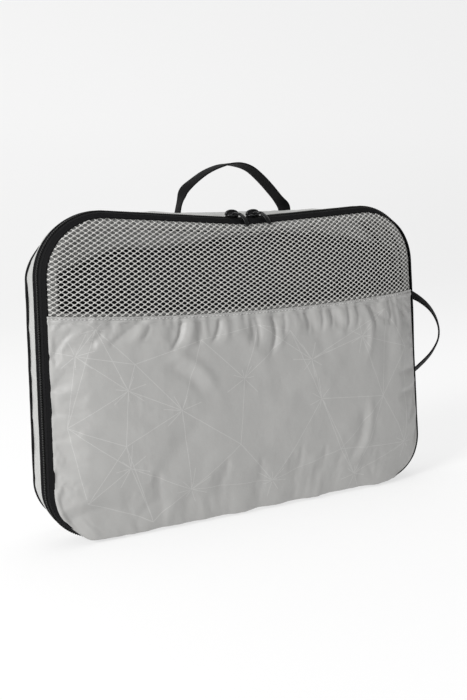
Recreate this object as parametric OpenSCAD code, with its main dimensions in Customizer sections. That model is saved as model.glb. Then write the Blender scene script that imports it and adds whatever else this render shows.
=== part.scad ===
// Soft packing cube, standing on its bottom panel.
// +X is the width, -Y is the front, +Z is up; the origin is the middle of the base.

/* [Body] */
// Greatest width of the filled cube
body_w = 456; // [380:1:520]
// Height from the base to the top seam
body_h = 335; // [290:1:380]
// Distance from the front seam to the rear seam
body_d = 60; // [56:1:80]
// Corner radius of the front seam at the top
top_r = 60; // [40:1:75]
// Corner radius of the front seam at the bottom
bottom_r = 50; // [40:1:70]
// How far the filled front stands proud of its seam
front_bulge = 18; // [8:1:24]
// How far the filled back stands proud of its seam
back_bulge = 6; // [2:1:12]
// Thickness of one layer of cloth with its seam allowance
cloth_t = 1; // [0.8:0.1:1.4]

/* [Window] */
// Height of the mesh seam at the left and right edges
seam_h = 227; // [190:1:245]
// How far the mesh seam dips in the middle
seam_dip = 9; // [0:1:16]
// How far the top of the front slumps between the sliders
slump_z = 11; // [0:1:14]

/* [Zip] */
// Width of the zip from the front seam to the gusset
zip_w = 26; // [24:1:30]
// Distance between the two coils, which the slider posts fill
coil_gap = 2.4; // [2.2:0.1:3]
// Width of one coil
coil_w = 2; // [1.6:0.1:2.6]
// Height of a coil over its tape
coil_t = 1.8; // [1.4:0.1:2.2]
// Half the width left without zip along the bottom
hinge_half = 150; // [120:1:160]
// Place along the top of the lowest point, between the sliders
slump_x = 3; // [-4:1:10]
// Distance of each slider from the lowest point
slider_off = 13; // [11:1:20]

/* [Webbing] */
// Width of the handle webbing
webbing_w = 15; // [12:1:20]
// Thickness of the handle webbing
webbing_t = 1.4; // [1.2:0.1:1.8]
// How far the side loop leans towards the front, in degrees
loop_lean = 28; // [0:1:40]

/* [Hidden] */
$fn = 48;

half_w = body_w / 2;
front_y = -body_d / 2;
rear_y = body_d / 2;
gap = 0.05;              // keeps the faces of sewn neighbours apart
seam_edge_y = rear_y - cloth_t;
coil_y = front_y + zip_w / 2;
zip_rear_y = front_y + zip_w;
front_inset = 10;        // front seam inside the widest outline
top_drop = 12;           // front seam below the top
seam_lift = 4;           // front seam above the base
arc_steps = 10;

// Centres of the corner arcs, shared by every outline so that the sections stay parallel
top_cx = half_w - front_inset - top_r;
top_cz = body_h - top_drop - top_r;
bottom_cx = half_w - front_inset - bottom_r;
bottom_cz = seam_lift + bottom_r;

// An edge is one station of the cube's section:
// [y, inset at the sides, inset at the top, height over the base, share of the slump]
tape_front = [front_y + cloth_t + gap, 9.3, 11.2, 4, 1];
coil_front = [coil_y - 6, 4.5, 6, 2, 1];
strand_front = [coil_y - coil_gap / 2, 4.5, 6, 2, 1];
strand_rear = [coil_y + coil_gap / 2, 4.5, 6, 2, 1];
coil_rear = [coil_y + 6, 4.5, 6, 2, 1];
tape_rear = [zip_rear_y, 2, 4, 0, 1];
gusset_front = [zip_rear_y + gap, 2, 4, 0, 1];
gusset_middle = [12, 0, 1.5, 0, 0.4];
gusset_fold = [rear_y - 6, 0.5, 0.5, 0, 0];
gusset_rear = [seam_edge_y, 2, 1, 3, 0];
binding_front = [seam_edge_y + gap, 1.6, 0.6, 2.6, 0];
binding_rear = [rear_y + 1.5, 1.6, 0.6, 2.6, 0];
binding_t = 2.5;

// ---- outlines ----
// A path is a list of [side, is_top, angle]. An angle over 90 marks the end of an open path,
// and a side of 0 the lowest point of the top.
function corner(side, is_top, up) =
    [for (i = [0:arc_steps]) [side, is_top, 90 * (up ? i : arc_steps - i) / arc_steps]];
loop_path = concat(corner(-1, false, false), corner(-1, true, true), [[0, true, 90]],
    corner(1, true, false), corner(1, false, true));
open_path = concat([[-1, false, 180]], loop_path, [[1, false, 180]]);

function place(p, side_in, top_in, base_in, slump) =
    p[0] == 0 ? [slump_x, body_h - top_in - slump * slump_z] :
    p[2] > 90 ? [p[0] * hinge_half, base_in] :
    p[1] ? [p[0] * (top_cx + (half_w - side_in - top_cx) * cos(p[2])),
            top_cz + (body_h - top_in - top_cz) * sin(p[2])] :
        [p[0] * (bottom_cx + (half_w - side_in - bottom_cx) * cos(p[2])),
            bottom_cz - (bottom_cz - base_in) * sin(p[2])];

function edge_point(p, e, depth) =
    let (q = place(p, e[1] + depth, e[2] + depth, e[3] + depth, e[4])) [q[0], e[0], q[1]];

// The top falls along two straight lines to its lowest point: 0 at the corners, 1 there
function slump_at(x) = max(0, 1 - (x < slump_x ? (slump_x - x) / (top_cx + slump_x)
    : (x - slump_x) / (top_cx - slump_x)));

// Half the width of an outline at a height, for panels that fill it
function half_width(z, side_in, top_in, base_in) =
    z < bottom_cz ? bottom_cx + (half_w - side_in - bottom_cx)
        * sqrt(max(0, 1 - pow((bottom_cz - z) / (bottom_cz - base_in), 2))) :
    z > top_cz ? top_cx + (half_w - side_in - top_cx)
        * sqrt(max(0, 1 - pow((z - top_cz) / (body_h - top_in - top_cz), 2))) :
    half_w - side_in;

// ---- skins ----
// Joins rings of 2k points, the outside then the inside in reverse, into one closed solid
module skin(rings, closed = false) {
    n = len(rings);
    m = len(rings[0]);
    k = m / 2;
    last = closed ? n - 1 : n - 2;
    sides = [for (i = [0:last], j = [0:m - 1])
        let (a = i * m + j, b = i * m + (j + 1) % m,
            c = ((i + 1) % n) * m + (j + 1) % m, d = ((i + 1) % n) * m + j)
        each [[a, c, b], [a, d, c]]];
    end = (n - 1) * m;
    caps = closed ? [] : [for (j = [0:k - 2])
        each [[j, j + 1, m - 2 - j], [j, m - 2 - j, m - 1 - j],
            [end + j, end + m - 2 - j, end + j + 1], [end + j, end + m - 1 - j, end + m - 2 - j]]];
    polyhedron([for (r = rings) each r], concat(sides, caps), convexity = 10);
}

// A strip of cloth along a path, with its section given by edges
module strip(path, edges, t, closed = false) {
    k = len(edges);
    skin([for (p = path) concat(
        [for (i = [0:k - 1]) edge_point(p, edges[i], 0)],
        [for (i = [k - 1:-1:0]) edge_point(p, edges[i], t)])], closed);
}

function crown(u, v) = pow(max(0, 1 - pow(abs(u), 3.5)), 0.8) * pow(max(0, 1 - pow(abs(v), 3.5)), 0.8);

// A point of a crowned panel; ins is an edge without its y. Above the mesh seam it may take up the slump
columns = 24;
function panel_point(u, z, y, out, bulge, ins) =
    let (low = ins[2], high = body_h - ins[1], v = 2 * (z - low) / (high - low) - 1,
        x = u * half_width(z, ins[0], ins[1], ins[2]),
        share = ins[3] * max(0, (z - seam_h) / (high - seam_h)))
    [x, y + out * bulge * crown(u, v), z - share * slump_z * slump_at(x)];

function seam_z(u) = seam_h - seam_dip * (1 - u * u);

function level(u, w, from_seam, to_seam, ins) =
    let (low = from_seam ? seam_z(u) : ins[2], high = to_seam ? seam_z(u) : body_h - ins[1])
    low + (high - low) * w;

// A crowned panel between two heights, which are the outline's own unless they are the mesh seam
module panel(y, out, bulge, ins, t, rows, from_seam = false, to_seam = false) {
    us = [for (j = [-columns / 2:columns / 2]) -out * sin(90 * j / (columns / 2))];
    ws = [for (i = [0:rows]) (1 - cos(180 * i / rows)) / 2];
    skin([for (w = ws) concat(
        [for (u = us)
            panel_point(u, level(u, w, from_seam, to_seam, ins), y, out, bulge, ins)],
        [for (j = [columns:-1:0])
            panel_point(us[j], level(us[j], w, from_seam, to_seam, ins), y - out * t, out, bulge, ins)])]);
}

// A straight strip along X between the zip ends, from its section in Y and Z
module bottom_run(section) {
    run = hinge_half - gap;
    translate([-run, 0, 0]) rotate([90, 0, 90]) linear_extrude(2 * run) polygon(section);
}

front_ins = [front_inset, top_drop, seam_lift, 1];
back_ins = [for (i = [1:4]) binding_rear[i] + (i < 4 ? binding_t + gap : 0)];
lining_ins = [32, 30, 30, 0];

// ---- the box ----
module back_panel() {
    color("silver") panel(seam_edge_y + gap + cloth_t, 1, back_bulge, back_ins, cloth_t, 16);
}

module back_lining() {
    color([0.16, 0.16, 0.17])
        panel(seam_edge_y, 1, back_bulge / 2, lining_ins, cloth_t, 12);
}

module gusset_strip() {
    color("silver")
        strip(open_path, [gusset_front, gusset_middle, gusset_fold, gusset_rear], cloth_t);
}

module bottom_panel() {
    fold_y = gusset_fold[0];
    color("silver") bottom_run([[gusset_front[0], 0], [fold_y, 0], [seam_edge_y, gusset_rear[3]],
        [seam_edge_y, gusset_rear[3] + cloth_t], [fold_y, cloth_t], [gusset_front[0], cloth_t]]);
}

module hinge_strip() {
    lip_y = front_y + 1.4;
    flat_y = front_y + 6;
    color("silver") bottom_run([[lip_y, seam_lift - 0.4], [flat_y, 0], [zip_rear_y, 0],
        [zip_rear_y, cloth_t], [flat_y, cloth_t], [lip_y, seam_lift - 0.4 + cloth_t]]);
}

module rear_seam_binding() {
    color([0.11, 0.11, 0.11]) strip(loop_path, [binding_front, binding_rear], binding_t, true);
}

module rear_zip_tape() {
    color([0.13, 0.13, 0.13]) strip(open_path, [strand_rear, coil_rear, tape_rear], cloth_t);
}

// A coil lies on the outside of its tape, so its section is lifted by the coil height
function lifted(e, y) = [y, e[1] - coil_t, e[2] - coil_t, e[3] - coil_t, e[4]];

module rear_zip_coil() {
    y = strand_rear[0];
    color([0.07, 0.07, 0.07])
        strip(open_path, [lifted(strand_rear, y), lifted(strand_rear, y + coil_w)], coil_t - gap);
}

// The stitched tab that covers the end of the zip under the cube
module zip_end(side) {
    tab = [14, 9, 1];
    color([0.1, 0.1, 0.1]) translate([side * (hinge_half - 10), coil_y, cloth_t + gap + tab[2] / 2])
        cube(tab, center = true);
}
module zip_end_left() zip_end(-1);
module zip_end_right() zip_end(1);

// ---- the lid ----
module front_lower_panel() {
    color("silver")
        panel(front_y, -1, front_bulge, front_ins, cloth_t, 20, to_seam = true);
}

module front_mesh_window() {
    color([0.62, 0.62, 0.6])
        panel(front_y, -1, front_bulge, front_ins, cloth_t, 14, from_seam = true);
}

// The flat tape inside the seam between the mesh and the lower panel
module mesh_seam_tape() {
    tape_h = 8;
    us = [for (j = [-12:12]) 0.96 * j / 12];
    y = front_y + cloth_t + gap;
    function inside(u, dz, depth) = let (p = panel_point(u, seam_z(u) + dz, y, -1, front_bulge, front_ins))
        [p[0], p[1] + depth, p[2]];
    color("silver") skin([for (u = us) [inside(u, tape_h / 2, 0.2), inside(u, -tape_h / 2, 0.2),
        inside(u, -tape_h / 2, 1), inside(u, tape_h / 2, 1)]]);
}

module front_seam_binding() {
    inner = cloth_t + 0.2;
    a = [tape_front[0], tape_front[1] + inner, tape_front[2] + inner, tape_front[3] + inner, 1];
    b = [front_y + 4, 7.9 + inner, 9.6 + inner, 3.5 + inner, 1];
    color([0.11, 0.11, 0.11]) strip(loop_path, [a, b], 1.5, true);
}

module front_zip_tape() {
    color([0.13, 0.13, 0.13])
        strip(open_path, [tape_front, coil_front, strand_front], cloth_t);
}

module front_zip_coil() {
    y = strand_front[0];
    color([0.07, 0.07, 0.07])
        strip(open_path, [lifted(strand_front, y - coil_w), lifted(strand_front, y)], coil_t - gap);
}

// ---- sliders ----
// Heights here are over the outside of the tape, which slopes down to the lowest point
slider_l = 15;
slider_w = 11;
plate_t = 1.4;
clearance = 0.4;
low_plate_z = -cloth_t - clearance - plate_t;
high_plate_z = coil_t + clearance;
bridge_z = high_plate_z + plate_t + gap;
bridge_r = 5.4;
bridge_bore = 3.4;
bridge_w = 2.4;
pin_z = bridge_z + 1.5;
pull_yaw = 20;           // the pull rests to the right and a little to the front

// Puts a piece on the zip, to the left (side -1) or the right (side 1) of the lowest point
module on_zip(side) {
    x = slump_x + side * slider_off;
    slope = atan(slump_z / (top_cx - side * slump_x));
    translate([x, coil_y, body_h - strand_front[2] - slump_z * slump_at(x)])
        rotate([0, -side * slope, 0]) children();
}

module slider_plate() {
    straight = slider_l - slider_w + 4;
    linear_extrude(plate_t) {
        square([straight, slider_w], center = true);
        for (end = [-1, 1]) translate([end * straight / 2, 0]) intersection() {
            circle(d = slider_w);
            square([slider_l - straight, slider_w + 1], center = true);
        }
    }
}

module slider_body(side) {
    post = [6, 1.6, high_plate_z - low_plate_z];
    color([0.08, 0.08, 0.08]) on_zip(side) {
        translate([0, 0, low_plate_z]) slider_plate();
        translate([0, 0, high_plate_z]) slider_plate();
        translate([-post[0] / 2, -post[1] / 2, low_plate_z]) cube(post);
    }
}

module slider_bridge(side) {
    color([0.09, 0.09, 0.09]) on_zip(side) translate([0, 0, bridge_z]) intersection() {
        rotate([90, 0, 0]) difference() {
            cylinder(r = bridge_r, h = bridge_w, center = true);
            cylinder(r = bridge_bore, h = bridge_w + 2, center = true);
        }
        translate([0, 0, bridge_r]) cube([3 * bridge_r, 2 * bridge_w, 2 * bridge_r], center = true);
    }
}

module pull_tab(side) {
    arm = 1.1;
    slot = [8.5, 6.8];
    tab = [18, slot[1] + 2 * arm, 1.5];
    pin_r = 0.75;
    color([0.07, 0.07, 0.07]) on_zip(side) translate([0, 0, pin_z]) rotate([0, 0, -pull_yaw]) {
        rotate([90, 0, 0]) cylinder(r = pin_r, h = tab[1], center = true);
        difference() {
            translate([0, -tab[1] / 2, -tab[2] / 2]) cube([tab[0] - tab[1] / 2, tab[1], tab[2]]);
            translate([-1, -slot[1] / 2, -tab[2]]) cube([slot[0] + 1, slot[1], 2 * tab[2]]);
        }
        translate([tab[0] - tab[1] / 2, 0, -tab[2] / 2]) cylinder(d = tab[1], h = tab[2]);
    }
}

module left_slider_body() slider_body(-1);
module left_slider_bridge() slider_bridge(-1);
module left_pull_tab() pull_tab(-1);
module right_slider_body() slider_body(1);
module right_slider_bridge() slider_bridge(1);
module right_pull_tab() pull_tab(1);

// ---- handles ----
handle_y = rear_y + 0.2;
handle_z = body_h + 0.3;
// Route of the top handle in X and Z over its hinge line, chosen by hand
handle_route = [[-54, 0], [-54, 8], [-49, 19], [-37, 31], [-19, 43], [2, 50],
    [22, 49.5], [38, 44], [52, 33], [66, 19], [79, 7], [79, 0]];
loop_x = half_w - 0.6;
// Route of the side loop: distance out from its hinge line, and height over the base
loop_route = [[0, 222], [8, 222], [24, 220], [41, 211], [55, 197], [63, 179],
    [63, 160], [53, 141], [37, 125], [21, 113], [8, 107], [0, 107]];

function unit2(v) = v / norm(v);
function tangent2(r, i) = unit2(r[min(i + 1, len(r) - 1)] - r[max(i - 1, 0)]);
// The webbing lies flat in the route's plane at its ends and turns a quarter by its middle
function turn(i, n) = 45 * (1 - cos(360 * i / (n - 1)));

// Four corners of the webbing at point i, as [along the route's plane a, across it b, up c]
function web_ring(r, i) =
    let (t = tangent2(r, i), n = [-t[1], t[0]], a = turn(i, len(r)),
        wide = [n[0] * cos(a), sin(a), n[1] * cos(a)] * webbing_w / 2,
        thin = [-n[0] * sin(a), cos(a), -n[1] * sin(a)] * webbing_t / 2,
        c = [r[i][0], 0, r[i][1]])
    [c + wide + thin, c - wide + thin, c - wide - thin, c + wide - thin];

module top_handle() {
    color([0.1, 0.1, 0.1]) translate([0, handle_y, handle_z])
        skin([for (i = [0:len(handle_route) - 1]) web_ring(handle_route, i)]);
}

module side_loop() {
    color([0.1, 0.1, 0.1]) translate([loop_x, handle_y, 0]) rotate([0, 0, -loop_lean])
        skin([for (i = [0:len(loop_route) - 1]) web_ring(loop_route, i)]);
}

// The sewn ends of the webbing, flat on the back over the rear binding
end_t = 1.2;
end_l = 9;
module top_handle_ends() {
    color([0.1, 0.1, 0.1]) for (x = [handle_route[0][0], handle_route[len(handle_route) - 1][0]])
        translate([x - webbing_w / 2, binding_rear[0] + gap, body_h - 1 - end_l])
            cube([webbing_w, end_t, end_l]);
}

module side_loop_ends() {
    color([0.1, 0.1, 0.1]) for (z = [loop_route[0][1], loop_route[len(loop_route) - 1][1]])
        translate([half_w - 2 - end_l, binding_rear[0] + gap, z - webbing_w / 2])
            cube([end_l, end_t, webbing_w]);
}

back_panel();
back_lining();
gusset_strip();
bottom_panel();
hinge_strip();
rear_seam_binding();
rear_zip_tape();
rear_zip_coil();
zip_end_left();
zip_end_right();
top_handle_ends();
side_loop_ends();
front_lower_panel();
front_mesh_window();
mesh_seam_tape();
front_seam_binding();
front_zip_tape();
front_zip_coil();
left_slider_body();
left_slider_bridge();
left_pull_tab();
right_slider_body();
right_slider_bridge();
right_pull_tab();
top_handle();
side_loop();
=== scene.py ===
"""Looks of a soft packing cube with a mesh window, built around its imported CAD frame."""
import math

import bmesh
import bpy
import numpy as np
from mathutils import Matrix, Vector


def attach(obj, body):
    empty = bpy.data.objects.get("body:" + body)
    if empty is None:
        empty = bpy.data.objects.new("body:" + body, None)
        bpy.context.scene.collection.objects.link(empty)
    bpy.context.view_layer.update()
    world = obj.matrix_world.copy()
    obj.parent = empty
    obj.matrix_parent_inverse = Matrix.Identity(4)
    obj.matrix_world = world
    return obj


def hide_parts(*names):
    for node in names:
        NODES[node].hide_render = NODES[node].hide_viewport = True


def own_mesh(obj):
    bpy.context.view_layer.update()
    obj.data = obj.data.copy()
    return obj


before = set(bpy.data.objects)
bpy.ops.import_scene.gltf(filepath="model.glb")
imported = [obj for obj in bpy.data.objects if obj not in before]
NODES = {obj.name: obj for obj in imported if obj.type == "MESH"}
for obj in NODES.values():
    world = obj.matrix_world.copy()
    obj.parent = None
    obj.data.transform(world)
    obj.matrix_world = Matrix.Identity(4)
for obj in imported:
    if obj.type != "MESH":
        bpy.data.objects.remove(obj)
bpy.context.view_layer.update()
MM = 0.001

# ---------------------------------------------------------------- camera
cam_data = bpy.data.cameras.new("camera")
cam = bpy.data.objects.new("camera", cam_data)
bpy.context.scene.collection.objects.link(cam)
bpy.context.scene.camera = cam
# where the camera stands, and its own axes: to its right, up, and the way it looks
CAMERA_AT = Vector((-0.35407, -0.7719, 0.28215))
RIGHT = Vector((0.90889, -0.41472, -0.04397))
UP = Vector((0.03623, -0.02652, 0.99899))
FORWARD = Vector((0.41547, 0.90956, 0.00908))
cam.matrix_world = Matrix([(*row, at) for row, at in zip(zip(RIGHT, UP, -FORWARD), CAMERA_AT)]
                          + [(0, 0, 0, 1)])
cam_data.lens = 38.57
cam_data.sensor_width = 36
cam_data.shift_y = -0.15
cam_data.clip_start = 0.02
bpy.context.scene.view_settings.view_transform = "Standard"

# ---------------------------------------------------------------- sizes in mm, as in the CAD
HALF_W, BODY_H = 228.0, 335.0
FRONT_Y, REAR_Y = -30.0, 30.05
FRONT_BULGE, BACK_BULGE = 18.0, 6.0
SEAM_H, SEAM_DIP = 227.0, 9.0
SLUMP_Z, SLUMP_X, SLUMP_R = 11.0, 3.0, 10.0
OPEN = 150.0  # half the length of the base that has no zip
COIL_Y = -17.0
TOP_CX, TOP_CZ = 158.0, 263.0
BOTTOM_CX, BOTTOM_CZ = 168.0, 54.0
FRONT_INS = (10.0, 12.0, 4.0)
BACK_INS = (4.15, 3.15, 5.15)
FRONT_HALF = HALF_W - FRONT_INS[0]
# how far the cloth moves from the CAD's surfaces: the back's top and its corners, the front's
# piping on the right, and the lower panel out and down over the base seam
BACK_SAG, CORNER_TUCK, FLARE = 5.0, 8.0, 3.2
OVERHANG_OUT, OVERHANG_DOWN = 3.6, 3.5
# y, then the insets at the sides, the top and the base, and the share of the slump
STATIONS = np.array([
    [-30, 10, 12, 4, 1], [-28.95, 9.3, 11.2, 4, 1], [-23, 4.5, 6, 2, 1], [-11, 4.5, 6, 2, 1],
    [-4, 2, 4, 0, 1], [12, 0, 1.5, 0, 0.4], [24, 0.5, 0.5, 0, 0], [29, 2, 1, 3, 0],
    [31.5, 1.6, 0.6, 2.6, 0]], float)


# ---------------------------------------------------------------- small maths
def smooth(a, b, x):
    t = np.clip((np.asarray(x, float) - a) / (b - a), 0, 1)
    return t * t * (3 - 2 * t)


def noise(x, y, cell, seed):
    """A smooth random field from about -1 to 1 that changes over one cell."""
    table = np.random.default_rng(seed).uniform(-1, 1, (128, 128))
    gx, gy = np.broadcast_arrays(np.asarray(x, float) / cell + 500, np.asarray(y, float) / cell + 500)
    ix, iy = np.floor(gx).astype(int), np.floor(gy).astype(int)
    fx, fy = gx - ix, gy - iy
    fx, fy = fx * fx * (3 - 2 * fx), fy * fy * (3 - 2 * fy)
    at = lambda i, j: table[(ix + i) % 128, (iy + j) % 128]
    low = at(0, 0) * (1 - fx) + at(1, 0) * fx
    high = at(0, 1) * (1 - fx) + at(1, 1) * fx
    return low * (1 - fy) + high * fy


def unit(v):
    return v / np.maximum(np.linalg.norm(v, axis=-1, keepdims=True), 1e-9)


def cubic(a, b, c, d, f):
    """The smooth curve from b to c, at the share f of the way, with a before them and d after."""
    return 0.5 * (2 * b + (c - a) * f + (2 * a - 5 * b + 4 * c - d) * f**2 + (3 * b - a - 3 * c + d) * f**3)


def spline(points, n):
    """n points along a smooth curve through points, evenly spaced, with its ends straight."""
    p = np.asarray(points, float)
    ext = np.vstack([2 * p[0] - p[1], p, 2 * p[-1] - p[-2]])
    t = np.linspace(0, len(p) - 1, 30 * len(p))
    i = np.minimum(t.astype(int), len(p) - 2)
    f = (t - i)[:, None]
    q = cubic(ext[i], ext[i + 1], ext[i + 2], ext[i + 3], f)
    s = np.concatenate([[0], np.cumsum(np.linalg.norm(np.diff(q, axis=0), axis=1))])
    want = np.linspace(0, s[-1], n)
    return np.stack([np.interp(want, s, q[:, k]) for k in range(q.shape[1])], 1), want


def upsample(grid, rows, cols):
    """Cubic samples of a grid of vectors at fractional row and column numbers."""
    def along(g, t):
        n = g.shape[0]
        i = np.clip(np.floor(t).astype(int), 0, n - 2)
        f = (t - i).reshape((-1,) + (1,) * (g.ndim - 1))
        return cubic(g[np.maximum(i - 1, 0)], g[i], g[i + 1], g[np.minimum(i + 2, n - 1)], f)
    first = along(grid, rows)
    return np.swapaxes(along(np.swapaxes(first, 0, 1), cols), 0, 1)


def rising(n):
    """n shares from 0 to 1, closer together at both ends."""
    t = np.linspace(0, 1, n)
    return 0.5 * t + 0.25 * (1 - np.cos(np.pi * t))


def crossing(n, even, a=-1):
    """n places from a to -a, closer together at both ends; even is the evenly spaced part."""
    t = np.linspace(a, -a, n)
    return even * t + (1 - even) * np.sin(np.pi / 2 * t)


def bilinear(grid, r, c):
    """Samples of a grid at paired fractional row and column numbers."""
    i = np.clip(np.floor(r).astype(int), 0, grid.shape[0] - 2)
    j = np.clip(np.floor(c).astype(int), 0, grid.shape[1] - 2)
    f, g = (r - i)[..., None], (c - j)[..., None]
    return ((grid[i, j] * (1 - g) + grid[i, j + 1] * g) * (1 - f)
            + (grid[i + 1, j] * (1 - g) + grid[i + 1, j + 1] * g) * f)


# ---------------------------------------------------------------- the cube's outline and skins
def slump_at(x):
    d = np.where(x < SLUMP_X, SLUMP_X - x, x - SLUMP_X)
    length = np.where(x < SLUMP_X, TOP_CX + SLUMP_X, TOP_CX - SLUMP_X)
    return np.clip(1 - np.sqrt(d * d + SLUMP_R**2) / length, 0, 1)


def outline(seg, f, side_in, top_in, base_in, slump, start=0.0):
    """Points of an outline, from the middle of the base round by the left. start is where the base begins."""
    hw, top = HALF_W - side_in, BODY_H - top_in
    a = np.where(np.isin(seg, (3, 8)), f, 1 - f) * math.pi / 2
    up_x = TOP_CX + (hw - TOP_CX) * np.cos(a)
    up_z = TOP_CZ + (top - TOP_CZ) * np.sin(a)
    low_x = BOTTOM_CX + (hw - BOTTOM_CX) * np.cos(a)
    low_z = BOTTOM_CZ - (BOTTOM_CZ - base_in) * np.sin(a)
    run = start + (BOTTOM_CX - start) * f
    tx = np.where(seg == 4, -TOP_CX + (SLUMP_X + TOP_CX) * f, SLUMP_X + (TOP_CX - SLUMP_X) * f)
    tz = top - slump * SLUMP_Z * slump_at(tx)
    side_z = BOTTOM_CZ + (TOP_CZ - BOTTOM_CZ) * f
    on = [seg == k for k in range(9)]
    on_top = on[4] | on[5]
    x = np.select([*on[:4], on_top, *on[6:]],
                  [-run, -low_x, -hw + 0 * f, -up_x, tx, up_x, hw + 0 * f, low_x],
                  BOTTOM_CX - (BOTTOM_CX - start) * f)
    z = np.select([*on[:3], on[3] | on[6], on_top, *on[7:]],
                  [base_in + 0 * f, low_z, side_z, up_z, tz, TOP_CZ - (TOP_CZ - BOTTOM_CZ) * f, low_z],
                  base_in + 0 * f)
    return x, z


def tucked(p):
    """Draws the back in at its top corners and lets its top sag, where the cube is less filled."""
    p = np.array(p, float)
    x, z = np.abs(p[..., 0]) - TOP_CX, p[..., 2] - TOP_CZ
    r = np.maximum(np.hypot(x, z), 1e-6)
    turn = np.clip(x / r, 0, 1) * np.clip(z / r, 0, 1) * 2
    pull_in = CORNER_TUCK * turn**1.5 * smooth(-4, 24, p[..., 1]) * smooth(10, 60, r) / r
    sag = BACK_SAG * smooth(2, 26, p[..., 1]) * smooth(308, 332, p[..., 2])
    p[..., 0] -= np.sign(p[..., 0]) * np.where(x > 0, x, 0) * pull_in
    p[..., 2] -= np.where(z > 0, z, 0) * pull_in + sag
    return p


def path(step, start=0.0):
    """Segment numbers and shares for a walk round the outline in steps of about step."""
    low_arc, high_arc, side = 85, 105, TOP_CZ - BOTTOM_CZ
    lengths = [BOTTOM_CX - start, low_arc, side, high_arc, TOP_CX + SLUMP_X,
               TOP_CX - SLUMP_X, high_arc, side, low_arc, BOTTOM_CX - start]
    seg, f = [], []
    for k, length in enumerate(lengths):
        n = max(3, int(round(length / step)))
        seg += [k] * n
        f += list(np.arange(n) / n)
    if start:
        seg.append(9)
        f.append(1.0)
    return np.array(seg), np.array(f, float)


def station(y):
    """The insets and the share of the slump at a depth, rounded off towards the back."""
    near = (-2.5, 0, 2.5) if y > 0 else (0,)
    return [np.mean([np.interp(y + d, STATIONS[:, 0], STATIONS[:, k]) for d in near]) for k in range(1, 5)]


def sweep(profile, step, start, lift=None):
    """Carries points [(y, depth)] round the cube: rings of points, and the length along them."""
    seg, f = path(step, start)
    side, top, base, slump = station(COIL_Y)
    x, z = outline(seg, f, side, top, base, slump, start)
    s = np.concatenate([[0], np.cumsum(np.hypot(np.diff(x), np.diff(z)))])
    rings = np.zeros((len(seg), len(profile), 3))
    for j, (y, depth) in enumerate(profile):
        side, top, base, slump = station(y)
        d = depth - (0 if lift is None else lift(s, y, depth))
        rings[:, j, 0], rings[:, j, 2] = outline(seg, f, side + d, top + d, base + d, slump, start)
        rings[:, j, 1] = y
    return rings, s


def half_width(z, ins):
    """Half the width of a panel's outline at a height."""
    side, top, base = ins
    arc = lambda t: np.sqrt(np.clip(1 - t**2, 0, 1))
    low = BOTTOM_CX + (HALF_W - side - BOTTOM_CX) * arc((BOTTOM_CZ - z) / (BOTTOM_CZ - base))
    high = TOP_CX + (HALF_W - side - TOP_CX) * arc((z - TOP_CZ) / (BODY_H - top - TOP_CZ))
    return np.where(z < BOTTOM_CZ, low, np.where(z > TOP_CZ, high, HALF_W - side))


def crown(u, v):
    """The share of a panel's bulge at u across and v up, each from -1 to 1."""
    return (np.clip(1 - np.abs(u)**3.5, 0, 1) * np.clip(1 - np.abs(v)**3.5, 0, 1))**0.8


def panel_point(x, z, y, out, bulge, ins, slumps=True):
    """A point of a crowned panel, from its place before the slump."""
    low, high = ins[2], BODY_H - ins[1]
    u = np.clip(x / half_width(z, ins), -1, 1)
    v = 2 * (z - low) / (high - low) - 1
    share = np.clip((z - SEAM_H) / (high - SEAM_H), 0, 1) if slumps else 0
    return np.stack([x, y + out * bulge * crown(u, v), z - share * SLUMP_Z * slump_at(x)], -1)


def front_point(x, z):
    return panel_point(x, z, FRONT_Y, -1, FRONT_BULGE, FRONT_INS)


def seam_z(u):
    return SEAM_H - SEAM_DIP * (1 - u * u)


# ---------------------------------------------------------------- mesh pieces
def grid_faces(n, m, wrap_n=False, wrap_m=False):
    """Faces of a grid of n rows of m points, which may close on itself either way."""
    i, j = np.meshgrid(np.arange(n if wrap_n else n - 1), np.arange(m if wrap_m else m - 1),
                       indexing="ij")
    a, b = i * m + j, i * m + (j + 1) % m
    c, d = ((i + 1) % n) * m + (j + 1) % m, ((i + 1) % n) * m + j
    return np.stack([a, b, c, d], -1).reshape(-1, 4)


def tube_faces(n, m, first=0):
    """Faces of a closed tube of n rings of m points, with a cap at each end."""
    caps = [[first + j for j in range(m)], [first + (n - 1) * m + j for j in range(m)]]
    return (grid_faces(n, m, False, True) + first).tolist() + caps


def piece(name, points, faces, material, body, uv=None, replaces=(), outward=True,
          stage=False, soft=True):
    """One object from points in mm. Its UVs are in mm too, so a material's grain has its real size."""
    mesh = bpy.data.meshes.new(name)
    points = np.asarray(points, float).reshape(-1, 3)
    mesh.from_pydata((points * MM).tolist(), [], [list(map(int, f)) for f in faces])
    if uv is not None:
        uv = np.asarray(uv, float).reshape(-1, 2)
        layer = mesh.uv_layers.new(name="UVMap")
        index = np.zeros(len(mesh.loops), int)
        mesh.loops.foreach_get("vertex_index", index)
        layer.data.foreach_set("uv", uv[index].astype(np.float32).ravel())
    if outward:
        bm = bmesh.new()
        bm.from_mesh(mesh)
        bmesh.ops.recalc_face_normals(bm, faces=bm.faces)
        bm.to_mesh(mesh)
        bm.free()
    mesh.polygons.foreach_set("use_smooth", [soft] * len(mesh.polygons))
    mesh.materials.append(material)
    obj = bpy.data.objects.new(name, mesh)
    bpy.context.scene.collection.objects.link(obj)
    if stage:
        return obj
    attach(obj, body)
    if replaces:
        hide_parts(*replaces)
    return obj


def arc_uv(rings, s):
    """UVs of a lofted piece: the length along it, and the distance across each ring."""
    across = np.concatenate([np.zeros((len(rings), 1)),
                             np.cumsum(np.linalg.norm(np.diff(rings, axis=1), axis=2), axis=1)], 1)
    return np.stack([np.broadcast_to(np.asarray(s)[:, None], across.shape), across], -1)


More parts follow.
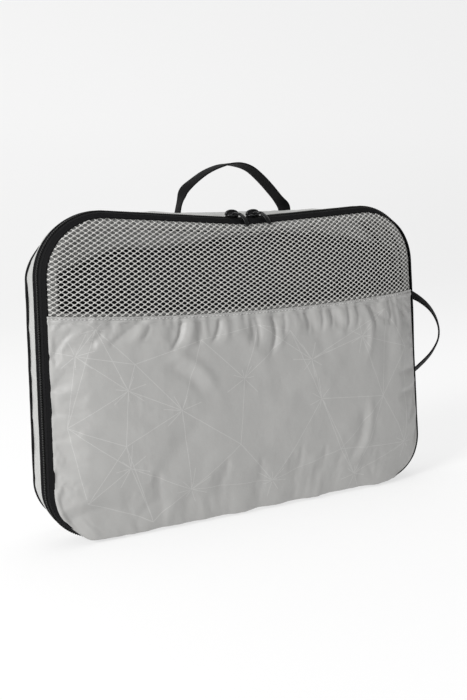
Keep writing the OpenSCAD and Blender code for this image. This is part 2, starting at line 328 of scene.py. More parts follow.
def loft(name, rings, s, material, body, replaces, closed=False):
    """A solid through rings of points, capped at its ends or, if closed, joined end to end."""
    n, m = rings.shape[:2]
    faces = grid_faces(n, m, True, True) if closed else tube_faces(n, m)
    return piece(name, rings, faces, material, body, arc_uv(rings, s), replaces)


def normals_of(grid):
    return unit(np.cross(np.gradient(grid, axis=1), np.gradient(grid, axis=0)))


def shell(name, grid, thick, material, body, replaces=(), uv=None, flip=False):
    """A sheet with a thickness, from a grid of points on its outer face. flip turns it inside out."""
    n, m = grid.shape[:2]
    inner = grid - normals_of(grid) * thick * (-1 if flip else 1)
    front = grid_faces(n, m)
    count = n * m
    edge = np.concatenate([np.arange(m), np.arange(1, n) * m + m - 1,
                           (n - 1) * m + np.arange(m - 2, -1, -1), np.arange(n - 2, 0, -1) * m])
    after = np.roll(edge, -1)
    rim = np.stack([edge, after, after + count, edge + count], 1)
    faces = np.concatenate([front, front[:, ::-1] + count, rim])
    if uv is None:
        uv = grid[..., [0, 2]]
    return piece(name, np.concatenate([grid.reshape(-1, 3), inner.reshape(-1, 3)]), faces, material, body,
                 np.concatenate([uv.reshape(-1, 2)] * 2), replaces)


def cloth_moves(grid, pressure, cap, seed, growth):
    """How far each point of a sheet pinned round its edge moves when let out a little and blown up."""
    n, m = grid.shape[:2]
    grain, last_frame = 1.2, 26
    pinned = np.zeros((n, m))
    pinned[0], pinned[-1], pinned[:, 0], pinned[:, -1] = 1, 1, 1, 1
    uneven = noise(grid[..., 0], grid[..., 2], 22, seed) * grain * (1 - pinned)
    start = grid + normals_of(grid) * uneven[..., None]
    mesh = bpy.data.meshes.new("cloth")
    mesh.from_pydata((start.reshape(-1, 3) * MM).tolist(), [], grid_faces(n, m).tolist())
    obj = bpy.data.objects.new("cloth", mesh)
    bpy.context.scene.collection.objects.link(obj)
    group = obj.vertex_groups.new(name="pin")
    for k, w in enumerate(pinned.ravel()):
        if w > 0:
            group.add([k], float(w), "REPLACE")
    mod = obj.modifiers.new("cloth", "CLOTH")
    st = mod.settings
    st.quality = 5
    st.mass = 0.12
    st.tension_stiffness = st.compression_stiffness = 12
    st.shear_stiffness = 4
    st.bending_stiffness = 0.08
    st.shrink_min = -growth
    st.use_pressure = True
    st.uniform_pressure_force = pressure
    st.effector_weights.gravity = 0
    st.vertex_group_mass = "pin"
    mod.point_cache.frame_start = 1
    mod.point_cache.frame_end = last_frame
    for k in range(1, last_frame):
        bpy.context.scene.frame_set(k)
    moved = obj.evaluated_get(bpy.context.evaluated_depsgraph_get()).data
    co = np.zeros(n * m * 3)
    moved.vertices.foreach_get("co", co)
    d = co.reshape(n, m, 3) / MM - grid
    bpy.context.scene.frame_set(1)
    bpy.data.objects.remove(obj)
    length = np.linalg.norm(d, axis=2, keepdims=True)
    return d * np.minimum(1, cap / np.maximum(length, 1e-6))


# ---------------------------------------------------------------- materials
def new_material(name, color, rough, **sockets):
    """A Principled material. Sockets that are even all over are set on the shader itself."""
    m = bpy.data.materials.new(name)
    m.use_nodes = True
    b = m.node_tree.nodes["Principled BSDF"]
    b.inputs["Base Color"].default_value = (*color, 1)
    b.inputs["Roughness"].default_value = rough
    for k, v in sockets.items():
        b.inputs[k.replace("_", " ")].default_value = v
    return m


class Nodes:
    """Short calls for building a material's node tree."""

    def __init__(self, material):
        self.tree = material.node_tree
        self.shader = self.tree.nodes["Principled BSDF"]

    def add(self, kind, values=(), **props):
        n = self.tree.nodes.new("ShaderNode" + kind)
        for k, v in props.items():
            setattr(n, k, v)
        for k, v in dict(values).items():
            if isinstance(v, bpy.types.NodeSocket):
                self.tree.links.new(v, n.inputs[k])
            else:
                n.inputs[k].default_value = v
        return n

    def uv(self, sx=1.0, sy=1.0, turn=0.0):
        t = self.add("TexCoord")
        m = self.add("Mapping", {"Vector": t.outputs["UV"]})
        m.inputs["Scale"].default_value = (sx, sy, 1)
        m.inputs["Rotation"].default_value = (0, 0, turn)
        return m.outputs["Vector"]

    def math(self, op, a, b):
        return self.add("Math", {0: a, 1: b}, operation=op).outputs[0]

    def blend(self, a, b, share):
        return self.math("ADD", self.math("MULTIPLY", a, share), self.math("MULTIPLY", b, 1 - share))

    def noise(self, vector, scale, detail=3.0):
        return self.add("TexNoise", {"Vector": vector, "Scale": scale, "Detail": detail}).outputs["Fac"]

    def wave(self, vector, scale, direction="X", distortion=0.0):
        values = {"Vector": vector, "Scale": scale, "Distortion": distortion}
        return self.add("TexWave", values, bands_direction=direction).outputs["Fac"]

    def spread(self, value, low, high):
        """The value, from 0 to 1, taken to the range from low to high."""
        return self.add("MapRange", {"Value": value, "To Min": low, "To Max": high}).outputs[0]

    def tint(self, value, color, dark, light):
        """The colour, from dark to light times its own strength."""
        mix = self.add("Mix", {0: value}, data_type="RGBA")
        for socket, k in ((6, dark), (7, light)):
            mix.inputs[socket].default_value = (*(c * k for c in color), 1)
        self.tree.links.new(mix.outputs[2], self.shader.inputs["Base Color"])

    def rough(self, value):
        self.tree.links.new(value, self.shader.inputs["Roughness"])

    def bump(self, height, strength, distance=0.0003, under=None):
        n = self.add("Bump", {"Height": height, "Strength": strength, "Distance": distance})
        if under is not None:
            self.tree.links.new(under, n.inputs["Normal"])
        self.tree.links.new(n.outputs[0], self.shader.inputs["Normal"])
        return n.outputs[0]


def fabric(name, color, rough, weave=0.45, sheen=0.12):
    """Plain-woven polyester: threads of about 0.4 mm, fine crinkles, and slight changes of tone."""
    m = new_material(name, color, rough, Sheen_Weight=sheen, Sheen_Roughness=0.4, Specular_IOR_Level=0.42)
    n = Nodes(m)
    uv = n.uv()
    warp, weft = n.wave(uv, 0.39, "X", 0.3), n.wave(uv, 0.39, "Y", 0.3)
    threads = n.math("MULTIPLY", warp, weft)
    creases = n.noise(uv, 0.09, 4)
    cloud = n.noise(uv, 0.016, 3)
    tone = n.blend(cloud, threads, 0.6)
    n.tint(tone, color, 0.93, 1.07)
    n.rough(n.spread(creases, rough - 0.07, rough + 0.09))
    soft = n.bump(creases, 0.35, 0.0012)
    n.bump(threads, weave, 0.00012, soft)
    return m


def knit_tape(name, color, rough=0.72):
    """Woven zip tape or binding: fine ribs along its length, and cross threads."""
    m = new_material(name, color, rough, Specular_IOR_Level=0.1)
    n = Nodes(m)
    uv = n.uv()
    ribs, cross = n.wave(uv, 0.36, "Y", 0.4), n.wave(uv, 0.28, "X", 1.2)
    fuzz = n.noise(uv, 1.1, 2)
    body = n.blend(ribs, cross, 0.6)
    n.tint(n.math("MULTIPLY", body, fuzz), color, 0.7, 1.9)
    n.rough(n.spread(fuzz, rough - 0.1, rough + 0.1))
    n.bump(body, 0.6, 0.0002)
    return m


def webbing_cloth(name, color):
    """Ribbed polyester webbing: ribs of about 1.5 mm along it, with a slanting twill on them."""
    m = new_material(name, color, 0.6, Specular_IOR_Level=0.1)
    n = Nodes(m)
    ribs = n.wave(n.uv(), 0.21, "Y", 0.2)
    twill = n.wave(n.uv(1, 1, 0.8), 0.32, "X", 0.3)
    fuzz = n.noise(n.uv(), 0.9, 2)
    body = n.blend(ribs, twill, 0.65)
    n.tint(n.math("MULTIPLY", body, fuzz), color, 0.6, 2.2)
    n.rough(n.spread(body, 0.68, 0.5))
    n.bump(body, 0.7, 0.00035)
    return m


def moulded(name, color, rough, **sockets):
    """Lacquered metal or moulded plastic, with faint wear in its gloss."""
    m = new_material(name, color, rough, **sockets)
    n = Nodes(m)
    where = n.add("TexCoord").outputs["Object"]
    wear = n.noise(where, 260, 4)
    n.tint(wear, color, 0.8, 1.35)
    n.rough(n.spread(wear, rough - 0.06, rough + 0.06))
    n.bump(wear, 0.05, 0.0001)
    return m


GREY = (0.405, 0.402, 0.392)
BLACK = (0.0045, 0.0045, 0.0049)
LACQUER = (0.004, 0.004, 0.0042)
mat = {
    "printed": fabric("printed_fabric", GREY, 0.42),
    "shell": fabric("shell_fabric", (0.42, 0.422, 0.41), 0.45),
    "print": fabric("print_ink", (0.485, 0.482, 0.471), 0.4, weave=0.3),
    "facing": fabric("facing_fabric", (0.20, 0.20, 0.195), 0.6),
    # near-black cloth: painted shade for the closed cube's inside, seen through the net
    "lining": fabric("painted_shade_cloth", (0.016, 0.016, 0.018), 0.75, sheen=0.05),
    "net": moulded("net_nylon", (0.56, 0.555, 0.535), 0.38, Sheen_Weight=0.15),
    "tape": knit_tape("zip_tape", BLACK),
    "binding": knit_tape("binding", BLACK),
    "thread": knit_tape("black_thread", (0.009, 0.009, 0.0095), 0.6),
    "light_thread": fabric("light_thread", (0.66, 0.66, 0.65), 0.5),
    "coil": moulded("coil_nylon", (0.008, 0.008, 0.0075), 0.5, Specular_IOR_Level=0.15),
    "slider": moulded("slider_lacquer", LACQUER, 0.26, Specular_IOR_Level=0.3,
                      Coat_Weight=0.25, Coat_Roughness=0.1),
    "pull": moulded("pull_lacquer", LACQUER, 0.38, Specular_IOR_Level=0.18,
                    Coat_Weight=0.08, Coat_Roughness=0.15),
    "webbing": webbing_cloth("webbing", (0.004, 0.004, 0.0043)),
}


# ---------------------------------------------------------------- front lower panel
def lower_base(us, ws):
    """Rest points of the lower panel on a grid: ws from the base seam (0) to the mesh seam (1)."""
    u, w = np.meshgrid(us, ws)
    z = FRONT_INS[2] + (seam_z(u) - FRONT_INS[2]) * w
    return front_point(u * half_width(z, FRONT_INS), z)


SIM_ROWS, SIM_COLS = 58, 112
STITCH_DOWN = 2.6  # from the hem's edge to its row of stitches
sim_w, sim_u = rising(SIM_ROWS), crossing(SIM_COLS, 0.75)
sim_grid = lower_base(sim_u, sim_w)
sim_moves = cloth_moves(sim_grid, pressure=2.5, cap=6.0, seed=11, growth=0.018)

# Folds of the lower panel: x, z of both ends, half width, height (below 0 a valley)
FOLDS = [
    (-85, 213, -101, 183, 2.4, -3.0), (-74, 214, -91, 180, 6.0, 2.3), (-44, 212, -56, 187, 2.4, -2.6),
    (-34, 212, -46, 184, 5.5, 1.9), (-93, 180, -50, 138, 6.0, 2.4), (-101, 168, -64, 134, 6.0, -1.5),
    (-1, 212, -3, 178, 2.2, -1.7), (8, 212, 5, 176, 5.0, 1.0), (18, 211, 12, 168, 2.5, -2.6),
    (26, 211, 21, 172, 4.5, 1.8), (33, 212, 29, 188, 2.0, -1.4), (46, 212, 44, 184, 6.0, 1.0),
    (59, 212, 60, 188, 2.4, -1.7), (68, 212, 71, 180, 5.0, 1.3), (80, 213, 78, 190, 2.3, -1.6),
    (93, 213, 89, 190, 2.4, -1.6), (104, 214, 100, 178, 5.0, 1.5), (115, 214, 110, 186, 2.4, -1.8),
    (127, 215, 123, 188, 2.4, -1.3), (139, 216, 135, 148, 4.6, 2.0), (148, 216, 146, 178, 2.6, -1.6),
    (161, 217, 160, 184, 5.0, 1.1), (174, 219, 171, 184, 2.5, -1.7), (187, 220, 184, 172, 4.0, 2.1),
    (198, 221, 197, 186, 2.4, -1.4), (-128, 213, -140, 192, 5.0, 1.2), (-119, 212, -130, 196, 2.4, -1.2),
    (-160, 214, -176, 192, 4.5, 1.0), (139, 106, 119, 34, 6.0, 1.9), (129, 92, 110, 38, 6.5, -1.4),
    (-214, 34, -170, 46, 4.5, 1.5), (-206, 25, -160, 34, 4.5, -1.2), (-140, 13, -118, 34, 5.5, -0.9),
    (-108, 9, -92, 38, 5.5, 0.8), (-52, 8, -62, 34, 5.0, -0.9), (70, 8, 86, 36, 6.0, 0.8),
    (150, 14, 136, 44, 5.5, -0.9), (-178, 124, -112, 94, 9.0, 1.2), (-60, 70, 20, 50, 12.0, 1.3),
    (30, 120, 112, 152, 12.0, 1.4), (-20, 152, 62, 108, 14.0, -1.4), (-112, 58, -58, 112, 12.0, -1.4),
    (-30, 202, 12, 146, 9.0, 1.4), (60, 202, 86, 146, 8.0, -1.3), (170, 182, 150, 108, 9.0, -1.4),
    (-192, 92, -130, 84, 7.0, 1.3), (-214, 146, -176, 150, 5.0, 1.0), (-214, 66, -180, 62, 5.0, 1.0),
]


def fold_height(x, z):
    """How far the listed folds stand out at a point of the lower panel."""
    h = np.zeros_like(x)
    for x0, z0, x1, z1, wide, high in FOLDS:
        dx, dz = x1 - x0, z1 - z0
        t = ((x - x0) * dx + (z - z0) * dz) / (dx * dx + dz * dz)
        bend = 0.09 * math.hypot(dx, dz) * np.sin(np.pi * np.clip(t, 0, 1))
        off = ((x - x0) * dz - (z - z0) * dx) / math.hypot(dx, dz) + bend
        ends = smooth(-0.12, 0.12, t) * (1 - smooth(0.55, 1.1, t))
        h += high * np.exp(-((off / wide) ** 2)) * ends
    return h


def edge_puckers(u, x, z):
    """Small puckers where the panel is sewn to the zip tape, and soft unevenness all over."""
    side = (1 - np.abs(u)) * 210
    base = z - FRONT_INS[2]
    along_side = noise(z, np.sign(u) * 40, 9, 21) * np.exp(-side / 9) * (1 - np.exp(-side / 1.2))
    along_base = noise(x, 0, 10, 22) * np.exp(-base / 9) * (1 - np.exp(-base / 1.2))
    soft = 0.7 * noise(x, z, 27, 23) + 0.3 * noise(x, z, 12, 24)
    soft += 0.32 * (0.5 - np.abs(noise(x, 0.8 * z, 8, 27))) * smooth(-0.2, 0.5, noise(x, z, 45, 28))
    return 1.3 * along_side + 0.7 * along_base + soft * smooth(0, 14, np.minimum(side, base))


def lower_surface(us, ws):
    """The finished lower panel on a grid of shares across and up."""
    base = lower_base(us, ws)
    moves = upsample(sim_moves, np.interp(ws, sim_w, np.arange(SIM_ROWS)),
                     np.interp(us, sim_u, np.arange(SIM_COLS)))
    u, w = np.meshgrid(us, ws)
    x, z = base[..., 0], base[..., 2]
    below = (1 - w) * (SEAM_H - FRONT_INS[2])
    moves = moves * (0.3 + 0.7 * smooth(8, 80, z))[..., None]
    rest = fold_height(x, z) * smooth(0, 6, below) + edge_puckers(u, x, z) * smooth(0, 10, below)
    # the hem at the mesh seam: a folded edge with a row of stitches sunk into it
    rest += 1.0 * (1 - smooth(5.5, 8.5, below)) - 0.8 * np.exp(-((below - STITCH_DOWN) / 0.7) ** 2)
    rest += 0.35 * noise(x, 0, 5, 25) * (1 - smooth(3, 12, below))
    p = base + moves + normals_of(base) * rest[..., None]
    above = z - FRONT_INS[2]
    span = smooth(-204, -180, x) * (1 - smooth(168, 190, x)) * (1 + 0.25 * noise(x, 0, 22, 26))
    p[..., 1] -= OVERHANG_OUT * span * smooth(0, 3.5, above) * (1 - smooth(8, 30, above))
    p[..., 2] -= OVERHANG_DOWN * span * smooth(0, 2.5, above) * (1 - smooth(3, 20, above))
    p[..., 2] = np.maximum(p[..., 2], 0.25)
    return p


def lower_spacing():
    top = np.array([0, 0.35, 0.9, 1.5, 2.0, 2.3, 2.6, 2.9, 3.2, 3.8, 4.6, 5.4, 6.2, 7, 7.8, 8.6, 9.6]) / 222.0
    body = np.linspace(0, 1, 126)
    body = 0.55 * body + 0.225 * (1 - np.cos(np.pi * body))
    body = body[body < 1 - top[-1] - 0.004]
    return np.concatenate([body, 1 - top[::-1]])


low_w = lower_spacing()
low_u = crossing(290, 0.85)
low_grid = lower_surface(low_u, low_w)
low_uv = lower_base(low_u, low_w)[..., [0, 2]]
lower = shell("lower_panel", low_grid, 0.5, mat["printed"], "lid",
              replaces=("front_lower_panel",), uv=low_uv)


def on_lower(x, z):
    """Points of the finished lower panel and their normals, from places on the flat outline."""
    u = x / half_width(z, FRONT_INS)
    w = (z - FRONT_INS[2]) / (seam_z(u) - FRONT_INS[2])
    r, c = np.interp(w, low_w, np.arange(len(low_w))), np.interp(u, low_u, np.arange(len(low_u)))
    return bilinear(low_grid, r, c), unit(bilinear(normals_of(low_grid), r, c))


# The printed lines: a generic net of thin straight lines that meet in open stars
def print_segments():
    r = np.random.default_rng(5)
    hubs = [(-196, 184), (-137, 176), (-141, 150), (-148, 99), (-141, 69), (-205, 120), (-90, 120),
            (-70, 190), (-80, 40), (-188, 46), (-20, 150), (-30, 84), (12, 30), (40, 190), (70, 120),
            (96, 60), (130, 180), (160, 110), (190, 50), (198, 160), (120, 20), (-120, 16), (60, 160),
            (0, 205), (-170, 208), (170, 205)]
    hubs = [(x + r.uniform(-4, 4), z + r.uniform(-4, 4)) for x, z in hubs]
    found = set()
    for i, a in enumerate(hubs):
        near = sorted(range(len(hubs)), key=lambda j: math.dist(a, hubs[j]))[1:5]
        found |= {tuple(sorted((i, j))) for j in near}
    lines = [(*hubs[i], *hubs[j]) for i, j in sorted(found)]
    for x, z in hubs[::2]:
        turn = r.uniform(0, 3)
        for k in range(7):
            a, length = turn + k * math.tau / 7, r.uniform(9, 24)
            c, s = math.cos(a), math.sin(a)
            lines.append((x + 2 * c, z + 2 * s, x + length * c, z + length * s))
    return lines


def ribbons(name, lines, wide, lift, material, body):
    """Thin flat lines that follow the finished lower panel."""
    verts, faces, uvs = [], [], []
    for x0, z0, x1, z1 in lines:
        n = max(3, int(math.hypot(x1 - x0, z1 - z0) / 1.6))
        t = np.linspace(0, 1, n)
        x, z = x0 + (x1 - x0) * t, z0 + (z1 - z0) * t
        keep = (z > 6) & (z < seam_z(x / FRONT_HALF) - 7) & (np.abs(x) < half_width(z, FRONT_INS) - 1.5)
        if keep.sum() < 3:
            continue
        x, z = x[keep], z[keep]
        across = np.array([z1 - z0, -(x1 - x0)]) / math.hypot(x1 - x0, z1 - z0) * wide / 2
        first = len(verts)
        for side in (-1, 1):
            p, nrm = on_lower(x + side * across[0], z + side * across[1])
            verts += list(p + nrm * lift) + list(p - nrm * 0.1)
            uvs += [(a, b) for a, b in zip(x, z)] * 2
        k = len(x)
        for i in range(k - 1):
            a, b, c, d = (first + j * k + i for j in range(4))
            faces += [(a, a + 1, c + 1, c), (b, d, d + 1, b + 1), (a, b, b + 1, a + 1), (c, c + 1, d + 1, d)]
        a, b, c, d = (first + j * k for j in range(4))
        e = k - 1
        faces += [(a, c, d, b), (a + e, b + e, d + e, c + e)]
    return piece(name, np.array(verts), faces, material, body, np.array(uvs), soft=False)


printed = ribbons("print_lines", print_segments(), 0.7, 0.035, mat["print"], "lid")


def stitches(name, points, along, out, material, body, slot, length=2.3, thick=0.5):
    """A row of stitches: each is a short thread that dips into the cloth at its ends."""
    sink = 0.12
    t = np.linspace(-1, 1, 6)
    a = np.arange(6) * math.tau / 6
    cross = unit(np.cross(along, out))
    mid = points[:, None, None, :] + along[:, None, None, :] * (t * length / 2)[None, :, None, None]
    arch = (thick * 0.35 - (sink + thick * 0.55) * t**4)[None, :, None, None]
    radius = (thick / 2 * (1 - 0.35 * t**6))[None, :, None, None]
    rings = mid + out[:, None, None, :] * arch + radius * (
        out[:, None, None, :] * np.cos(a)[None, None, :, None]
        + cross[:, None, None, :] * np.sin(a)[None, None, :, None])
    faces = [f for i in range(len(points)) for f in tube_faces(6, 6, 36 * i)]
    return piece(name, rings, faces, material, body, rings[..., [0, 2]])


stitch_x = np.arange(-214, 215, 3.9)
stitch_at, stitch_out = on_lower(stitch_x, seam_z(stitch_x / FRONT_HALF) - STITCH_DOWN)
stitch_along = unit(np.gradient(stitch_at, axis=0))
seam_stitches = stitches("seam_stitches", stitch_at + 0.25 * stitch_out, stitch_along, stitch_out,
                         mat["light_thread"], "lid", "printed_fabric", 2.5, 0.75)

# ---------------------------------------------------------------- mesh window
CELL_W, CELL_H, STRAND = 7.7, 5.1, 1.45
NET_TOP = BODY_H - FRONT_INS[1]
net_rows = int(round((NET_TOP - SEAM_H + 6) / CELL_H))


def net_surface(x, s):
    """A point of the window: s runs from just under the seam's hem (0) to the top outline (1)."""
    u = x / FRONT_HALF
    low = seam_z(np.clip(u, -1, 1)) - 3.5
    z = low + (NET_TOP - 0.4 - low) * np.clip(s, 0, 1)
    wide = half_width(z, FRONT_INS) - 0.3
    x = np.clip(x, -wide, wide)
    p = front_point(x, z)
    dent = 0.9 * noise(x, z, 34, 31) + 0.35 * noise(x, z, 14, 32)
    side = np.minimum(wide - np.abs(x), NET_TOP - z)
    p[..., 1] += (dent * smooth(0, 16, side) + 0.7 * (1 - smooth(0, 6, z - low))
                  + 1.4 * (1 - smooth(0, 4, side)))
    return p


def build_net():
    """Points, faces and UVs of the net: a ring of strand round each hole, joined to its neighbours."""
    half = int(FRONT_HALF / CELL_W) + 1
    centres = []
    for row in range(2 * net_rows - 1):
        s = (row + 1) / (2 * net_rows)
        wide = half_width(SEAM_H + (NET_TOP - SEAM_H) * s, FRONT_INS)
        for col in range(-half, half + 1):
            x = (col + 0.5 * (row % 2)) * CELL_W
            if abs(x) - CELL_W / 2 < wide:
                centres.append((x, s))
    c = np.array(centres)
    rim = np.array([(1, 0), (0.5, 0.5), (0, 1), (-0.5, 0.5), (-1, 0), (-0.5, -0.5), (0, -1), (0.5, -0.5)])
    hole = np.array([(1, 0), (0.62, 0.68), (0, 1), (-0.62, 0.68),
                     (-1, 0), (-0.62, -0.68), (0, -1), (0.62, -0.68)])
    size = np.array([CELL_W / 2, 1 / (2 * net_rows)])
    shrink = 1 - STRAND / 2 / (CELL_W * CELL_H / 2 / math.hypot(CELL_W, CELL_H))
    outer = c[:, None, :] + rim[None] * size
    inner = c[:, None, :] + hole[None] * size * (shrink + 0.02)
    key = np.round(outer / (size / 4)).astype(int).reshape(-1, 2)
    unique, index = np.unique(key, axis=0, return_inverse=True)
    index = index.reshape(-1, 8)
    rim_at = unique * (size / 4)
    p_rim = net_surface(rim_at[:, 0], rim_at[:, 1])
    p_hole = net_surface(inner[..., 0].ravel(), inner[..., 1].ravel())
    node = (unique[:, 0] % 2 == 0) & (unique[:, 1] % 2 == 0)
    nx, nh = len(p_rim), len(p_hole)
    thick = np.where(node, 0.62, 0.42)[:, None] * np.array([[0, -1, 0]])
    points = np.concatenate([p_rim + thick, p_rim - thick, p_hole])
    hole_index = 2 * nx + np.arange(nh).reshape(-1, 8)
    faces = []
    for k in range(8):
        m = (k + 1) % 8
        faces.append(np.stack([index[:, k], index[:, m], hole_index[:, m], hole_index[:, k]], 1))
        faces.append(np.stack([index[:, m] + nx, index[:, k] + nx, hole_index[:, k], hole_index[:, m]], 1))
    flat = np.concatenate([rim_at, rim_at, inner.reshape(-1, 2)]) * [1, 96]
    faces = np.concatenate(faces)
    # the strands along the window's edge have no neighbour, so their front and back are joined there
    edges = {}
    for f in faces:
        for pair in zip(f, np.roll(f, -1)):
            pair = (min(pair), max(pair))
            edges[pair] = edges.get(pair, 0) + 1
    rims = [(a, b, b + nx, a + nx) for (a, b), k in edges.items() if k == 1 and b < nx]
    return points, faces.tolist() + rims, flat


net_points, net_faces, net_uv = build_net()
net = piece("window_net", net_points, net_faces, mat["net"], "lid", net_uv,
            ("front_mesh_window",))


def window_edge(inset, back):
    """Points along the window's outline, from the seam on the left over the top to the right."""
    x, z = outline(w_seg, w_f, FRONT_INS[0] + inset, FRONT_INS[1] + inset, FRONT_INS[2], 0)
    p = front_point(x, z)
    p[..., 1] += back
    return p


w_seg, w_f = path(3)
keep = (w_seg >= 2) & (w_seg <= 7) & (outline(w_seg, w_f, *FRONT_INS, 0)[1] > SEAM_H - 8)
w_seg, w_f = w_seg[keep], w_f[keep]
insets = np.linspace(0.3, 11, 8)
facing_grid = np.stack([window_edge(d, 1.3 + 0.12 * d + 0.5 * noise(np.arange(len(w_seg)), d, 6, 41))
                        for d in insets], 1)
s_face = np.cumsum(np.r_[0, np.linalg.norm(np.diff(facing_grid[:, 0], axis=0), axis=1)])
facing = shell("window_facing", facing_grid, 0.4, mat["facing"], "lid",
               uv=np.stack(np.broadcast_arrays(s_face[:, None], insets[None]), -1).astype(float))

# the hem tape behind the mesh seam
t_u = np.linspace(-0.96, 0.96, 120)
tape_dz = np.linspace(4, -4, 6)
hem_grid = np.stack([front_point(t_u * half_width(seam_z(t_u) + d, FRONT_INS), seam_z(t_u) + d)
                     for d in tape_dz], 1)
hem_grid[..., 1] += 1.4
hem = shell("hem_tape", hem_grid, 0.5, mat["facing"], "lid", replaces=("mesh_seam_tape",))

# ---------------------------------------------------------------- bands round the cube
TAPE_THICK = 0.9


def tape_profile(points):
    """A closed section from points (y, outward height), its inside being below them."""
    return [(y, -h) for y, h in points] + [(y, TAPE_THICK - h) for y, h in points[::-1]]


def band(name, profile, material, body, start, replaces, lift, step=2.6, low_top=0.0):
    """A profile carried round the cube: all the way, or from start to start either side of the base."""
    rings, s = sweep(profile, step, start, lift)
    rings[..., 2] -= low_top * smooth(300, 330, rings[..., 2])
    rings[..., 2] = np.maximum(rings[..., 2], 0)
    if body == "box":
        rings = tucked(rings)
    return loft(name, rings, s, material, body, replaces, closed=not start)


def ripple(seed, amount):
    return lambda s, y, d: amount * (noise(s, y, 16, seed) + 0.5 * noise(s, y, 6, seed + 1))


def flare(seed, amount, before):
    """Ripples, and the front edge standing out on the right, where the panel is drawn in beside it."""
    def lift(s, y, d):
        t = s + before
        # full from the top right corner, less down the side, and gone by the base
        right = smooth(890, 960, t) * (1 - 0.45 * smooth(1040, 1100, t)) * (1 - smooth(1215, 1265, t))
        return ripple(seed, amount)(s, y, d) + FLARE * right * smooth(-25.8, -28.6, y)
    return lift


band("front_tape", tape_profile([
    (-29.4, -0.5), (-28.8, 0.2), (-27, 0.5), (-25.4, 0.45), (-24.4, 0.1), (-22, 0.0), (-20, 0.05),
    (-18.3, 0)]), mat["tape"], "lid", OPEN, ("front_zip_tape",), flare(51, 0.12, OPEN))
band("rear_tape", tape_profile([
    (-15.7, 0), (-14, 0.05), (-11.5, 0.0), (-9.4, 0.1), (-8.2, 0.6), (-6, 0.75), (-4.4, 0.45),
    (-3.7, -0.2)]), mat["tape"], "box", OPEN, ("rear_zip_tape",), ripple(53, 0.12))
piping_a = np.arange(10) * math.tau / 10
band("front_piping", [(-29.2 + 1.0 * math.cos(a), 0.5 + 1.0 * math.sin(a)) for a in piping_a],
     mat["binding"], "lid", 0.0, ("front_seam_binding",), flare(55, 0.15, 0))
# the seam allowance that hangs inside the front seam
band("inner_flange", [(-27.6, 2.2), (-26.6, 6), (-25.8, 10.5), (-25.2, 15), (-24.4, 15), (-25, 10.5),
                      (-25.8, 6), (-26.8, 2.2)],
     mat["binding"], "lid", 0.0, (), ripple(57, 0.5))

gusset_y = np.linspace(-3.9, 28.9, 15)
gusset_points = [(y, 0.0) for y in gusset_y] + [(y, 0.7) for y in gusset_y[::-1]]


def gusset_lift(s, y, depth):
    inside = smooth(-4, 2, y) * (1 - smooth(24, 29, y))
    puckers = noise(s, 0, 9, 61) * math.exp(-(y + 4) / 7)
    puckers = puckers + noise(s, 0, 9, 62) * math.exp(-(29 - y) / 7)
    return inside * (1.1 * noise(s, y, 24, 63) + 0.5 * noise(s, y, 10, 64) + 1.1 * puckers - 0.6)


band("gusset", gusset_points, mat["shell"], "box", OPEN, ("gusset_strip",),
     gusset_lift, 2.2)
band("rear_binding", [
    (26.6, 1.2), (26.9, -0.3), (28, -1.5), (29.4, -2.1), (30.8, -2.1), (31.9, -1.4), (32.5, 0),
    (32.6, 1.8), (32.2, 3), (29.1, 3.0)],
     mat["binding"], "box", 0.0, ("rear_seam_binding",), ripple(65, 0.15), low_top=2.6)


def floor_strip(name, ys, zs, seed, replaces):
    """A flat strip of cloth under the cube, between the ends of the zip. zs are its heights at ys."""
    end = OPEN - 0.1
    xs = np.linspace(-end, end, 110)
    grid = np.zeros((len(ys), len(xs), 3))
    grid[..., 0] = xs[None]
    grid[..., 1] = ys[:, None]
    soft = 0.5 * (1 + noise(xs[None], ys[:, None], 18, seed))
    edge = smooth(0, 4, np.minimum(ys - ys[0], ys[-1] - ys))[:, None]
    grid[..., 2] = zs[:, None] + soft * edge
    shell(name, grid, 0.6, mat["shell"], "box", replaces, uv=grid[..., :2], flip=True)


b_y = np.linspace(-3.95, 28.95, 16)
b_z = np.interp(b_y, [-3.95, 24, 29], [0.02, 0.02, 3.0])
floor_strip("bottom_cloth", b_y, b_z, 66, ("bottom_panel",))
h_y = np.linspace(-28.5, -4.1, 14)
h_z = np.interp(h_y, [-28.6, -24, -4], [3.6, 0.02, 0.02])
floor_strip("hinge_cloth", h_y, h_z, 67, ("hinge_strip",))


def frames(y, pitch, lift=0.0):
    """Evenly spaced places along a band: points, and directions along and outward."""
    rings, s = sweep([(y, -lift)], 1.5, OPEN)
    line = rings[:, 0]
    s = np.concatenate([[0], np.cumsum(np.linalg.norm(np.diff(line, axis=0), axis=1))])
    want = np.arange(pitch, s[-1] - pitch / 2, pitch)
    p = np.stack([np.interp(want, s, line[:, k]) for k in range(3)], 1)
    along = unit(np.stack([np.interp(want + 0.6, s, line[:, k]) - np.interp(want - 0.6, s, line[:, k])
                           for k in range(3)], 1))
    out = np.stack([-along[:, 2], 0 * along[:, 0], along[:, 0]], 1)
    return p, along, out


